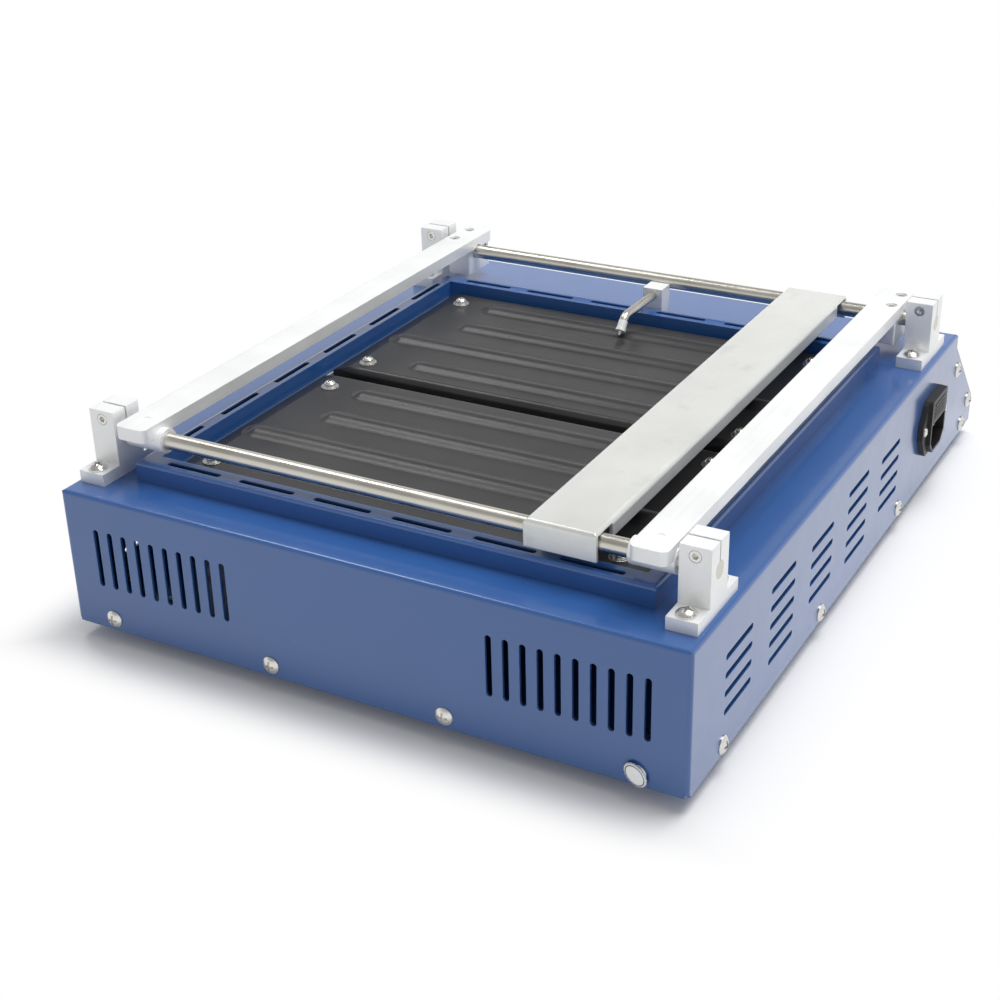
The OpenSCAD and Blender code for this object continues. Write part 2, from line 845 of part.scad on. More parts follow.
module shaft_support(x, y) {
    up = support_h - support_foot_t;
    color(alu)
        translate([x, y, top_z])
            difference() {
                union() {
                    block([support_t, support_l, support_foot_t]);
                    translate([0, 0, support_foot_t - eps])
                        block([support_t, support_up_w, up + eps]);
                }
                translate([0, 0, rod_h])
                    rotate([0, 90, 0])
                        cylinder(r = rod_r + run_fit / 2, h = support_t + 2, center = true);
                translate([0, 0, rod_h]) block([support_t + 2, clamp_slit, up]);
                for (s = [-1, 1])
                    translate([0, s * support_screw_pitch / 2, -1])
                        cylinder(r = SUPPORT_SCREW[0] + hole_gap, h = support_foot_t + 2);
                translate([0, support_up_w / 2, clamp_z])
                    rotate([90, 0, 0]) {
                        translate([0, 0, -1]) cylinder(r = clamp_head_r + hole_gap, h = clamp_head_h + 1);
                        cylinder(r = clamp_r + hole_gap, h = support_up_w - 2);
                    }
            }
}

clamp_slit = 1.2;
clamp_r = 1.5;
clamp_head_r = 2.6;
clamp_head_h = 3;
clamp_z = (rod_h + rod_r + support_h) / 2;

module shaft_support_rear_left() {
    shaft_support(support_x, rod_rear_y);
}

module shaft_support_rear_right() {
    shaft_support(-support_x, rod_rear_y);
}

module shaft_support_front_left() {
    shaft_support(support_x, rod_front_y);
}

module shaft_support_front_right() {
    shaft_support(-support_x, rod_front_y);
}

module support_screws() {
    color(steel)
        for (p = SUPPORT_XY, s = [-1, 1])
            translate([p[0], p[1] + s * support_screw_pitch / 2, top_z + support_foot_t])
                pan_screw(SUPPORT_SCREW);
}

module clamp_screws() {
    color(steel)
        for (p = SUPPORT_XY)
            translate([p[0], p[1] + support_up_w / 2 - clamp_head_h, top_z + clamp_z])
                rotate([-90, 0, 0])
                    difference() {
                        union() {
                            cylinder(r = clamp_head_r, h = clamp_head_h);
                            translate([0, 0, -support_up_w + clamp_head_h + 4])
                                cylinder(r = clamp_r, h = support_up_w - clamp_head_h - 4 + eps);
                        }
                        translate([0, 0, clamp_head_h / 2]) cylinder(r = clamp_r, h = clamp_head_h, $fn = 6);
                    }
}

module guide_rod(y) {
    color(steel)
        translate([0, y, rod_z])
            rotate([0, 90, 0])
                cylinder(r = rod_r, h = 2 * support_x + support_t, center = true);
}

module guide_rod_rear() {
    guide_rod(rod_rear_y);
}

module guide_rod_front() {
    guide_rod(rod_front_y);
}

// Clamp rails: drawn for the left-hand side, mirrored for the right

rail_x = support_x - support_t / 2 - rail_gap - rail_w / 2;
rail_z = rod_z + rail_rise;
rail_l = rail_rear + rod_pitch + rail_front;
rail_y = rod_rear_y + rail_rear - rail_l / 2;
rail_tip_y = rod_front_y - rail_front;
block_set = 1.5;
block_y = rail_tip_y + block_set + block_l / 2;
rail_screw_pitch = 17.5;
rail_screw_fore = 1.5;
rail_screw_out = 3.5;
rail_screw_mid = rod_front_y - rail_screw_fore;
RAIL_SCREW_Y = [rail_screw_mid - rail_screw_pitch / 2, rail_screw_mid + rail_screw_pitch / 2];
rail_spot_r = 2;
rail_spot_deep = 0.2;
block_hole_r = 1.5;
block_hole_deep = 5;
block_hole_back = 7.5;
sleeve_edge = 0.5;

// A cylinder along x, centred on the rod axis at y
module along_rod(y, r, l) {
    translate([0, y, rod_z]) rotate([0, 90, 0]) cylinder(r = r, h = l, center = true);
}

module rail_bar() {
    head_deep = RAIL_SCREW[2] + 0.3;
    color(alu)
        translate([rail_x, 0, 0])
            difference() {
                translate([0, rail_y, rail_z])
                    linear_extrude(rail_t) round_rect(rail_w, rail_l, rail_front_r, rail_rear_r);
                along_rod(rod_rear_y, sleeve_d / 2 + run_fit, rail_w + 2);
                along_rod(rod_front_y, rod_r + free_gap, rail_w + 2);
                translate([0, rod_rear_y, rail_z + rail_t - rail_spot_deep]) cylinder(r = rail_spot_r, h = 1);
                for (y = RAIL_SCREW_Y)
                    translate([rail_screw_out, y, rail_z]) {
                        translate([0, 0, -1]) cylinder(r = RAIL_SCREW[0] + hole_gap, h = rail_t + 2);
                        translate([0, 0, rail_t - head_deep])
                            cylinder(r = RAIL_SCREW[1] + hole_gap, h = head_deep + 1);
                    }
            }
}

module rail_block() {
    w = rail_w - 2 * block_inset;
    color(alu)
        translate([rail_x, 0, 0])
            difference() {
                translate([0, block_y, rail_z - block_h])
                    linear_extrude(block_h) round_rect(w, block_l, rail_front_r - block_inset, 1);
                along_rod(rod_front_y, rod_r + run_fit, rail_w + 2);
                translate([-w / 2 - 1, rail_tip_y + block_set + block_hole_back, rod_z])
                    rotate([0, 90, 0]) cylinder(r = block_hole_r, h = block_hole_deep + 1);
                for (y = RAIL_SCREW_Y)
                    translate([rail_screw_out, y, rail_z - block_h / 2 - 3])
                        cylinder(r = RAIL_SCREW[0] + hole_gap, h = block_h);
            }
}

module rail_sleeve() {
    color(alu)
        translate([rail_x + (sleeve_edge - sleeve_out) / 2, 0, 0])
            difference() {
                along_rod(rod_rear_y, sleeve_d / 2, rail_w + sleeve_out + sleeve_edge);
                along_rod(rod_rear_y, rod_r + run_fit, rail_w + 4 * sleeve_out);
            }
}

module rail_screws() {
    color(steel)
        for (y = RAIL_SCREW_Y)
            translate([rail_x + rail_screw_out, y, rail_z + rail_t - RAIL_SCREW[2] - free_gap])
                pan_screw(RAIL_SCREW);
}

module left_rail_bar() {
    rail_bar();
}

module left_rail_block() {
    rail_block();
}

module left_rail_sleeve() {
    rail_sleeve();
}

module left_rail_screws() {
    rail_screws();
}

module right_rail_bar() {
    mirror([1, 0, 0]) rail_bar();
}

module right_rail_block() {
    mirror([1, 0, 0]) rail_block();
}

module right_rail_sleeve() {
    mirror([1, 0, 0]) rail_sleeve();
}

module right_rail_screws() {
    mirror([1, 0, 0]) rail_screws();
}

// Slider plate: one bent sheet lying on both rods

slider_x = -(rail_x - rail_w / 2) + slider_gap + slider_w / 2;
slider_z = rod_z + rod_r + free_gap;

slider_lip_y = rod_r + free_gap;
slider_l = rod_pitch + 2 * slider_lip_y + 2 * slider_t;
slider_drop = rod_r + free_gap + slider_t + slider_lip;

// The slider as one block with round bends along all its top edges
module slider_form(inset) {
    x = slider_w / 2 - inset;
    y = slider_l / 2 - inset;
    r = slider_r - inset;
    low = -slider_drop - inset;
    intersection() {
        across(2 * x) arch([-y, low], [y, -inset], r);
        translate([0, y, 0]) rotate([90, 0, 0]) linear_extrude(2 * y) arch([-x, low], [x, -inset], r);
    }
}

module slider_plate() {
    flange_l = rod_pitch - 2 * slider_notch;
    open_l = slider_l - 2 * slider_t;
    mid_y = (rod_rear_y + rod_front_y) / 2;
    color([0.78, 0.79, 0.78])
        translate([slider_x, mid_y, slider_z + slider_t])
            difference() {
                slider_form(0);
                slider_form(slider_t);
                translate([0, 0, -slider_drop - 1])
                    block([slider_w + 2, open_l, slider_drop - slider_flange + 1]);
                for (s = [-1, 1])
                    translate([0, s * (open_l + flange_l) / 4, -slider_drop - 1])
                        block([slider_w + 2, (open_l - flange_l) / 2, slider_drop + 1 - slider_t]);
            }
}

// Mains inlet with a fuse drawer, drawn with x up, y along the wall and z outwards

inlet_body_h = inlet_h - 3;
inlet_body_w = inlet_w;
inlet_deep = 26;
inlet_edge = 1.5;
inlet_ear_h = 8;
socket_h = 16;
socket_w = 23.5;
socket_deep = 16;
socket_cut = 5;
socket_low = -inlet_h / 2 + 1.5;
drawer_h = 9;
drawer_w = 21;
drawer_deep = 18;
drawer_low = inlet_h / 2 - 2.5 - drawer_h;

module socket_outline() {
    polygon([
        [socket_low, -socket_w / 2 + socket_cut],
        [socket_low + socket_cut, -socket_w / 2],
        [socket_low + socket_h, -socket_w / 2],
        [socket_low + socket_h, socket_w / 2],
        [socket_low + socket_cut, socket_w / 2],
        [socket_low, socket_w / 2 - socket_cut]
    ]);
}

// The flange is widest at its two screw ears
module flange_outline() {
    top = inlet_h / 2;
    half = inlet_w / 2 + inlet_edge;
    ear = inlet_w / 2 + inlet_ear;
    for (s = [-1, 1])
        polygon([
            [top, 0],
            [top, s * (half - 2)],
            [top - 2, s * half],
            [inlet_ear_h / 2, s * ear],
            [-inlet_ear_h / 2, s * ear],
            [2 - top, s * (half + 1)],
            [-top, s * (half - 1)],
            [-top, 0]
        ]);
}

// The raised face follows the socket's cut lower corners
module face_outline() {
    top = inlet_h / 2;
    half = inlet_w / 2;
    cut = socket_cut + 1;
    polygon([
        [top, 1 - half],
        [top, half - 1],
        [top - 1, half],
        [cut - top, half],
        [-top, half - cut],
        [-top, cut - half],
        [cut - top, -half],
        [top - 1, -half]
    ]);
}

module at_inlet() {
    on_right_wall(inlet_y, case_z + inlet_z) children();
}

module inlet_housing() {
    gap = free_gap;
    color(black)
        at_inlet()
            difference() {
                union() {
                    linear_extrude(inlet_flange_t) flange_outline();
                    linear_extrude(inlet_t) face_outline();
                    translate([0, 0, -inlet_deep]) block([inlet_body_h, inlet_body_w, inlet_deep + eps]);
                }
                translate([0, 0, inlet_t - socket_deep]) linear_extrude(socket_deep + 1) socket_outline();
                translate([drawer_low + drawer_h / 2, 0, inlet_t - drawer_deep - gap])
                    block([drawer_h + 2 * gap, drawer_w + 2 * gap, drawer_deep + 1]);
            }
}

// Line and neutral blades sit high, the earth blade low
pin_high = 10;
pin_low = 5.5;
pin_side = 7;
PIN_AT = [[socket_low + pin_high, -pin_side], [socket_low + pin_high, pin_side], [socket_low + pin_low, 0]];
pin_back = 3.8;
pin_l = socket_deep - pin_back;

module inlet_pins() {
    color([0.85, 0.8, 0.65])
        at_inlet()
            for (p = PIN_AT)
                translate([p[0], p[1], inlet_t - socket_deep]) block([4, 2, pin_l]);
}

module fuse_drawer() {
    ribs = 4;
    rib_w = 1;
    rib_out = 0.3;
    wall = 1.4;
    color(black)
        at_inlet()
            translate([drawer_low + drawer_h / 2, 0, inlet_t - drawer_deep])
                difference() {
                    union() {
                        block([drawer_h, drawer_w, drawer_deep]);
                        for (k = [0 : ribs - 1])
                            translate([(k - (ribs - 1) / 2) * drawer_h / ribs, 0, drawer_deep - eps])
                                block([rib_w, drawer_w - 4, rib_out + eps]);
                    }
                    translate([wall + 1, 0, wall])
                        block([drawer_h, drawer_w - 2 * wall, drawer_deep - 3 * wall]);
                }
}

fuse_r = 2.6;

module fuse() {
    wall = 1.4;
    seat = fuse_r + free_gap;
    color([0.85, 0.88, 0.9])
        at_inlet()
            translate([drawer_low + wall + 1 + seat, 0, inlet_t - drawer_deep + wall + seat])
                rotate([90, 0, 0])
                    cylinder(r = fuse_r, h = drawer_w - 2 * wall - 2 * free_gap, center = true);
}

// Controls on the slanted panel, drawn with x across, y up the slope and z outwards

ctrl_body_w = ctrl_w - 6;
ctrl_body_h = ctrl_h - 4;
ctrl_low_z = front_base_h + (slope_len - ctrl_body_h) / 2 * sin(45);
ctrl_deep = min(32, (ctrl_low_z - sheet - 3) / sin(45));
window_side = 8;
window_top = 4;
window_w = ctrl_w - 2 * window_side;
window_h = ctrl_h * 0.46;
window_t = 1.2;
window_up = ctrl_h / 2 - window_top - window_h / 2;
key_w = 12;
key_h = 7;
key_t = 4;
key_out = 1.2;
key_pitch = 19;
key_up_pos = -ctrl_h / 2 + 5 + key_h / 2;
key_travel = 0.8;
key_seat = ctrl_t + key_out - key_t;

module controller_housing() {
    color(black)
        on_slope(ctrl_x, 0)
            difference() {
                union() {
                    linear_extrude(ctrl_t) round_rect(ctrl_w, ctrl_h, 3, 3);
                    translate([0, 0, -ctrl_deep]) block([ctrl_body_w, ctrl_body_h, ctrl_deep + eps]);
                }
                translate([0, window_up, ctrl_t - window_t]) block([window_w, window_h, window_t + 1]);
                for (k = [0 : 3])
                    translate([(k - 1.5) * key_pitch, key_up_pos, key_seat - key_travel - free_gap])
                        block([key_w + 2 * free_gap, key_h + 2 * free_gap, key_t + 1]);
            }
}

module controller_window() {
    color([0.1, 0.02, 0.02])
        on_slope(ctrl_x, 0)
            translate([0, window_up, ctrl_t - window_t]) block([window_w, window_h, window_t]);
}

module key_cap(k) {
    color([0.75, 0.76, 0.78])
        on_slope(ctrl_x, 0)
            translate([(k - 1.5) * key_pitch, key_up_pos, key_seat])
                linear_extrude(key_t) round_rect(key_w, key_h, 1.5, 1.5);
}

module key_set() {
    key_cap(0);
}

module key_shift() {
    key_cap(1);
}

module key_down() {
    key_cap(2);
}

module key_up() {
    key_cap(3);
}

// Rocker switches: width and height of the housing behind the panel, depth, rocker half tilt
POWER = [22, 30, 24, 10];
ZONE = [14, 21, 18, 10];
switch_rim = 2;
switch_flange_t = 2;
rocker_wall = 2.2;
rocker_pivot_z = -3;
rocker_pin_r = 1.4;

function switch_body(s) = [s[0], s[1]];
function rocker_w(s) = s[0] - 2 * rocker_wall;
function rocker_half(s) = s[1] / 2 - rocker_wall - 1.8;

module switch_housing(s) {
    difference() {
        union() {
            translate([0, 0, -s[2]]) block([s[0], s[1], s[2] + eps]);
            linear_extrude(switch_flange_t)
                round_rect(s[0] + 2 * switch_rim, s[1] + 2 * switch_rim, 1.5, 1.5);
        }
        translate([0, 0, -s[2] * 0.6])
            block([rocker_w(s) + 2 * free_gap, s[1] - 2 * rocker_wall, s[2] + switch_flange_t]);
        translate([0, 0, rocker_pivot_z])
            rotate([0, 90, 0])
                cylinder(r = rocker_pin_r + run_fit, h = rocker_w(s) + 2 * rocker_wall - 1, center = true);
    }
}

// The rocker's end view: two flats that meet in a shallow valley over a round root
module rocker_section(s) {
    half = rocker_half(s);
    mid = switch_flange_t - rocker_pivot_z + 0.8;
    high = mid + half * tan(s[3]);
    polygon([
        [-half, 0],
        [-half, high],
        [0, mid],
        [half, high],
        [half, 0],
        [0, -half / 2]
    ]);
}

module rocker(s) {
    translate([0, 0, rocker_pivot_z])
        rotate([-s[3], 0, 0]) {
            across(rocker_w(s)) rocker_section(s);
            rotate([0, 90, 0])
                cylinder(r = rocker_pin_r, h = rocker_w(s) + 2 * rocker_wall - 1.6, center = true);
        }
}

module power_switch_housing() {
    color(black) on_slope(power_x, 0) switch_housing(POWER);
}

module power_rocker() {
    color([0.7, 0.08, 0.06]) on_slope(power_x, 0) rocker(POWER);
}

module zone_switch_housings() {
    color(black)
        for (s = [-1, 1]) on_slope(zone_x + s * zone_pitch / 2, 0) switch_housing(ZONE);
}

module rear_zone_rocker() {
    color(black) on_slope(zone_x + zone_pitch / 2, 0) rocker(ZONE);
}

module front_zone_rocker() {
    color(black) on_slope(zone_x - zone_pitch / 2, 0) rocker(ZONE);
}

// Electronics on the base tray, behind the control panel

board_w = 110;
board_d = 62;
board_t = 1.6;
board_side = 90;
board_x = side_x - board_side;
board_back = 60;
board_y = well_y - well_d / 2 + board_back;
board_lift = 8;
board_z = case_z + sheet + board_lift;
board_hole_in = 5;

BOARD_RELAY = [19, 15, 13];
BOARD_SUPPLY = [32, 28, 16];
board_can_r = 6;
board_can_h = 14;
board_post_r = 3;
RELAY = [45, 58, 23];
relay_x = -70;
relay_pitch = 56;
relay_step = 8;
relay_step_z = 14;
TERMINAL = [58, 20, 16];
terminal_poles = 6;
terminal_pitch = 9;
terminal_back = 70;
terminal_screw_r = 3;

module control_board() {
    color([0.1, 0.35, 0.2])
        translate([board_x, board_y, board_z]) {
            block([board_w, board_d, board_t]);
            translate([-board_w / 4, 0, board_t - eps]) block(BOARD_SUPPLY);
            translate([board_w / 6, board_d / 5, board_t - eps]) block(BOARD_RELAY);
            translate([board_w / 3, -board_d / 5, board_t - eps]) cylinder(r = board_can_r, h = board_can_h);
        }
}

module board_standoffs() {
    color(steel)
        for (sx = [-1, 1], sy = [-1, 1])
            translate([
                board_x + sx * (board_w / 2 - board_hole_in),
                board_y + sy * (board_d / 2 - board_hole_in),
                case_z + sheet
            ])
                cylinder(r = board_post_r, h = board_z - case_z - sheet);
}

module solid_state_relays() {
    color([0.88, 0.88, 0.86])
        for (s = [-1, 1])
            translate([relay_x + s * relay_pitch / 2, board_y, case_z + sheet])
                difference() {
                    block(RELAY);
                    for (e = [-1, 1])
                        translate([0, e * (RELAY[1] - relay_step) / 2, relay_step_z])
                            block([RELAY[0] + 2, relay_step + eps, RELAY[2]]);
                }
}

module terminal_block() {
    color([0.92, 0.9, 0.84])
        translate([0, board_y + terminal_back, case_z + sheet])
            difference() {
                block(TERMINAL);
                for (k = [0 : terminal_poles - 1])
                    translate([(k - (terminal_poles - 1) / 2) * terminal_pitch, 0, TERMINAL[2] / 2])
                        cylinder(r = terminal_screw_r, h = TERMINAL[2]);
            }
}

base_tray();
outer_cover();
front_panel();
heater_rim();
heater_tray();
insulation_pad();
heater_plate_rear();
heater_plate_front();
heating_element_rear();
heating_element_front();
heater_standoffs();
heater_washers();
heater_screws();
sensor_post();
sensor_tube();
sensor_tip();
shaft_support_rear_left();
shaft_support_rear_right();
shaft_support_front_left();
shaft_support_front_right();
support_screws();
clamp_screws();
guide_rod_rear();
guide_rod_front();
left_rail_bar();
left_rail_block();
left_rail_sleeve();
left_rail_screws();
right_rail_bar();
right_rail_block();
right_rail_sleeve();
right_rail_screws();
slider_plate();
inlet_housing();
inlet_pins();
fuse_drawer();
fuse();
controller_housing();
controller_window();
key_set();
key_shift();
key_down();
key_up();
power_switch_housing();
power_rocker();
zone_switch_housings();
rear_zone_rocker();
front_zone_rocker();
control_board();
board_standoffs();
solid_state_relays();
terminal_block();
rubber_feet();
foot_screws();
rear_case_screws();
left_case_screws();
right_case_screws();
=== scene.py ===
import json
import math

import bmesh
import bpy
from mathutils import Matrix, Vector


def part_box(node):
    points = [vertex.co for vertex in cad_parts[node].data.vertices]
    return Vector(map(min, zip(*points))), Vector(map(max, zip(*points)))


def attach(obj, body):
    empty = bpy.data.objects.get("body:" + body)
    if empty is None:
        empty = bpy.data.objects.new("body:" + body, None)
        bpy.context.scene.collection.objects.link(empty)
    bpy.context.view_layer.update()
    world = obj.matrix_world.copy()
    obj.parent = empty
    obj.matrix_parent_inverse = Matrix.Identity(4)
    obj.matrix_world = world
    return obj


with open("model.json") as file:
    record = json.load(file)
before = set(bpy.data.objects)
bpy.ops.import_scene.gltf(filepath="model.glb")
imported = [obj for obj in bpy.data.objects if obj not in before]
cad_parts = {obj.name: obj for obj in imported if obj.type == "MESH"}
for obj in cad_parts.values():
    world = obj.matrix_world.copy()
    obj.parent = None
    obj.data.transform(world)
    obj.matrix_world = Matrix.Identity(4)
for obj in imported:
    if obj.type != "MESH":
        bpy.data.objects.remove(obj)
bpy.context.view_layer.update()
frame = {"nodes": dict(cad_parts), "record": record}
nodes = frame["nodes"]
scene = bpy.context.scene
MM = 0.001
FULL_TURN = 2 * math.pi


# Node helpers for the materials, the floor and the world

def math_node(tree, operation, a, b):
    """A maths node; each of a and b is a number or a socket."""
    node = tree.nodes.new("ShaderNodeMath")
    node.operation = operation
    for socket, value in zip(node.inputs, (a, b)):
        if isinstance(value, (int, float)):
            socket.default_value = value
        else:
            tree.links.new(value, socket)
    return node.outputs[0]


def map_range(tree, value, span, out, curve="LINEAR"):
    """A value carried from one span to another and held at its ends."""
    node = tree.nodes.new("ShaderNodeMapRange")
    node.interpolation_type = curve
    for key, number in zip(("From Min", "From Max", "To Min", "To Max"), (*span, *out)):
        node.inputs[key].default_value = number
    tree.links.new(value, node.inputs["Value"])
    return node.outputs["Result"]


# Materials: every one is built from nodes, in the part's own coordinates, so that it rides along.

# Stretch of a grain: even, or drawn along one axis
EVEN = (1, 1, 1)
ALONG_X, ALONG_Y = (0.06, 8.0, 8.0), (8.0, 0.06, 8.0)
# Spans that hold most values of a noise
WIDE, NARROW = (0.3, 0.7), (0.35, 0.65)
UNIT = (0.0, 1.0)
BEVEL_SAMPLES = 4


class Shader:
    """A Principled material with short calls for the nodes that feed it."""

    SOCKETS = {
        "metallic": "Metallic",
        "roughness": "Roughness",
        "ior": "IOR",
        "specular": "Specular IOR Level",
        "coat": "Coat Weight",
        "coat_rough": "Coat Roughness",
        "coat_ior": "Coat IOR",
        "sheen": "Sheen Weight",
        "transmission": "Transmission Weight",
    }

    def __init__(self, name):
        self.mat = bpy.data.materials.new(name)
        self.mat.use_nodes = True
        self.tree = self.mat.node_tree
        self.bsdf = self.tree.nodes["Principled BSDF"]
        self.coords = self.add("ShaderNodeTexCoord").outputs["Object"]

    def add(self, kind, **values):
        node = self.tree.nodes.new(kind)
        for key, value in values.items():
            setattr(node, key, value)
        return node

    def link(self, a, b):
        self.tree.links.new(a, b)

    def put(self, **values):
        for key, value in values.items():
            self.bsdf.inputs[self.SOCKETS[key]].default_value = value

    def scaled(self, stretch):
        """Coordinates scaled by three factors."""
        mapping = self.add("ShaderNodeMapping")
        mapping.inputs["Scale"].default_value = stretch
        self.link(self.coords, mapping.inputs["Vector"])
        return mapping.outputs["Vector"]

    def noise(self, scale, detail=3.0, rough=0.55, stretch=EVEN):
        """A noise with that many features per metre."""
        texture = self.add("ShaderNodeTexNoise")
        texture.inputs["Scale"].default_value = scale
        texture.inputs["Detail"].default_value = detail
        texture.inputs["Roughness"].default_value = rough
        self.link(self.scaled(stretch), texture.inputs["Vector"])
        return texture.outputs["Fac"]

    def cells(self, scale, output="Distance", feature="F1"):
        texture = self.add("ShaderNodeTexVoronoi", feature=feature)
        texture.inputs["Scale"].default_value = scale
        self.link(self.coords, texture.inputs["Vector"])
        return texture.outputs[output]

    def ramp(self, fac, span, out=UNIT):
        return map_range(self.tree, fac, span, out)

    def mix(self, fac, a, b):
        """A colour between a and b; each is a colour or a socket."""
        node = self.add("ShaderNodeMix", data_type="RGBA")
        self.link(fac, node.inputs[0])
        for socket, value in ((node.inputs[6], a), (node.inputs[7], b)):
            if isinstance(value, tuple):
                socket.default_value = (*value, 1.0)
            else:
                self.link(value, socket)
        return node.outputs[2]

    def times(self, a, b):
        return math_node(self.tree, "MULTIPLY", a, b)

    def plus(self, a, b):
        return math_node(self.tree, "ADD", a, b)

    def colour(self, socket):
        self.link(socket, self.bsdf.inputs["Base Color"])

    def rough(self, socket):
        self.link(socket, self.bsdf.inputs["Roughness"])

    def bump(self, height, depth, strength, soft_edge=0.0):
        """Bump of that depth in metres; soft_edge rounds sharp edges in the shading."""
        node = self.add("ShaderNodeBump")
        node.inputs["Strength"].default_value = strength
        node.inputs["Distance"].default_value = depth
        self.link(height, node.inputs["Height"])
        if soft_edge:
            edge = self.add("ShaderNodeBevel", samples=BEVEL_SAMPLES)
            edge.inputs["Radius"].default_value = soft_edge
            self.link(edge.outputs["Normal"], node.inputs["Normal"])
        self.link(node.outputs["Normal"], self.bsdf.inputs["Normal"])


# Base colours of the painted and coated pieces, darker and lighter, and the marks on them
ENAMEL = ((0.022, 0.1, 0.325), (0.026, 0.11, 0.355))
ENAMEL_DUST = (0.6, 0.62, 0.65)
HEATER = ((0.021, 0.021, 0.023), (0.031, 0.031, 0.033))
HEATER_DUST = (0.22, 0.22, 0.22)
ZINC = ((0.77, 0.78, 0.75), (0.87, 0.88, 0.85))
ZINC_SPANGLE = (0.62, 0.63, 0.62)
ZINC_SMUDGE = (0.55, 0.56, 0.55)
ZINC_SCRATCH = (0.5, 0.5, 0.48)
FIBRE = ((0.62, 0.59, 0.5), (0.84, 0.82, 0.74))
BOARD = ((0.02, 0.17, 0.07), (0.008, 0.09, 0.035))
GLASS = ((0.82, 0.87, 0.88), (0.9, 0.93, 0.93))


def case_paint():
    """Blue stove enamel: a clear gloss over an even colour, a faint orange peel and a little dust."""
    s = Shader("case_paint")
    enamel = s.mix(s.ramp(s.noise(7, detail=2), WIDE), *ENAMEL)
    specks = s.ramp(s.cells(90), span=(0.055, 0.03), out=(0.0, 0.5))
    patches = s.ramp(s.noise(25, detail=2), span=(0.6, 0.7))
    s.colour(s.mix(s.times(specks, patches), enamel, ENAMEL_DUST))
    s.rough(s.ramp(s.noise(60), WIDE, out=(0.3, 0.36)))
    s.put(ior=1.42, coat=1.0, coat_rough=0.14, coat_ior=1.5)
    s.bump(s.noise(420, detail=2), depth=0.02 * MM, strength=0.35, soft_edge=0.6 * MM)
    return s.mat


def heater_black():
    """Black heat-proof enamel with a fine grain, rubbed marks and a little dust."""
    s = Shader("heater_black")
    base = s.mix(s.ramp(s.noise(22, detail=4), NARROW), *HEATER)
    specks = s.ramp(s.cells(150), span=(0.05, 0.03), out=(0.0, 0.4))
    streaks = s.noise(60, detail=4, rough=0.7, stretch=(1.0, 14.0, 1.0))
    marks = s.plus(specks, s.ramp(streaks, span=(0.69, 0.75), out=(0.0, 0.2)))
    patches = s.ramp(s.noise(40, detail=2), span=(0.52, 0.64))
    s.colour(s.mix(s.times(marks, patches), base, HEATER_DUST))
    grain = s.noise(900)
    s.rough(s.ramp(grain, WIDE, out=(0.3, 0.38)))
    s.put(ior=1.5, specular=0.45)
    s.bump(grain, depth=0.05 * MM, strength=0.5)
    return s.mat


def bright_metal(name, dark, light, rough, stretch, grain, depth=0.04 * MM, edge=0.4 * MM, metallic=1.0):
    """Bare metal with a drawn or ground grain along the axis that stretch leaves short."""
    s = Shader(name)
    lines = s.noise(grain, detail=4, rough=0.6, stretch=stretch)
    cloud = s.noise(30)
    tone = s.plus(s.ramp(cloud, WIDE, out=(0.0, 0.6)), s.ramp(lines, WIDE, out=(0.0, 0.4)))
    s.colour(s.mix(tone, dark, light))
    ground = s.ramp(lines, WIDE, out=(rough - 0.06, rough + 0.06))
    s.rough(s.plus(ground, s.ramp(cloud, span=(0.4, 0.7), out=(-0.03, 0.05))))
    s.put(metallic=metallic)
    s.bump(lines, depth, strength=0.6, soft_edge=edge)
    return s.mat


def galvanised():
    """Bare sheet with zinc clouds, a fine spangle, finger smudges and scratches along its length."""
    s = Shader("galvanised_sheet")
    cloud = s.noise(16, detail=4)
    spangle = s.cells(420, output="Color")
    smudge = s.noise(70, detail=2, rough=0.5, stretch=(1.0, 0.7, 1.0))
    scratch = s.noise(45, detail=5, rough=0.75, stretch=(18.0, 0.8, 1.0))
    base = s.mix(s.ramp(cloud, WIDE), *ZINC)
    base = s.mix(s.ramp(spangle, UNIT, out=(0.0, 0.12)), base, ZINC_SPANGLE)
    base = s.mix(s.ramp(smudge, span=(0.6, 0.72), out=(0.0, 0.3)), base, ZINC_SMUDGE)
    s.colour(s.mix(s.ramp(scratch, span=(0.66, 0.76), out=(0.0, 0.35)), base, ZINC_SCRATCH))
    s.rough(s.plus(s.ramp(cloud, WIDE, out=(0.3, 0.4)), s.ramp(spangle, UNIT, out=(-0.03, 0.05))))
    s.put(metallic=0.5)
    s.bump(scratch, depth=0.04 * MM, strength=0.4, soft_edge=0.6 * MM)
    return s.mat


def moulded(name, dark, light, rough, grain=1400, depth=0.05 * MM):
    """Moulded plastic or rubber with a fine grain."""
    s = Shader(name)
    fine = s.noise(grain, detail=2)
    s.colour(s.mix(s.ramp(s.noise(35), NARROW), dark, light))
    s.rough(s.ramp(fine, WIDE, out=(rough - 0.05, rough + 0.06)))
    s.put(ior=1.47)
    s.bump(fine, depth, strength=0.7, soft_edge=0.4 * MM)
    return s.mat


def fibre():
    """A felted ceramic pad."""
    s = Shader("ceramic_fibre")
    strands = s.noise(500, detail=5, rough=0.75, stretch=(1.0, 1.0, 4.0))
    s.colour(s.mix(s.ramp(strands, WIDE), *FIBRE))
    s.put(roughness=0.95, sheen=0.3)
    s.bump(strands, depth=0.6 * MM, strength=0.9)
    return s.mat


def board_mask():
    """Green circuit board lacquer over faint tracks."""
    s = Shader("board_green")
    tracks = s.cells(160, feature="DISTANCE_TO_EDGE")
    s.colour(s.mix(s.ramp(tracks, span=(0.02, 0.09)), *BOARD))
    s.rough(s.ramp(s.noise(500), WIDE, out=(0.25, 0.4)))
    s.bump(tracks, depth=0.05 * MM, strength=0.5)
    return s.mat


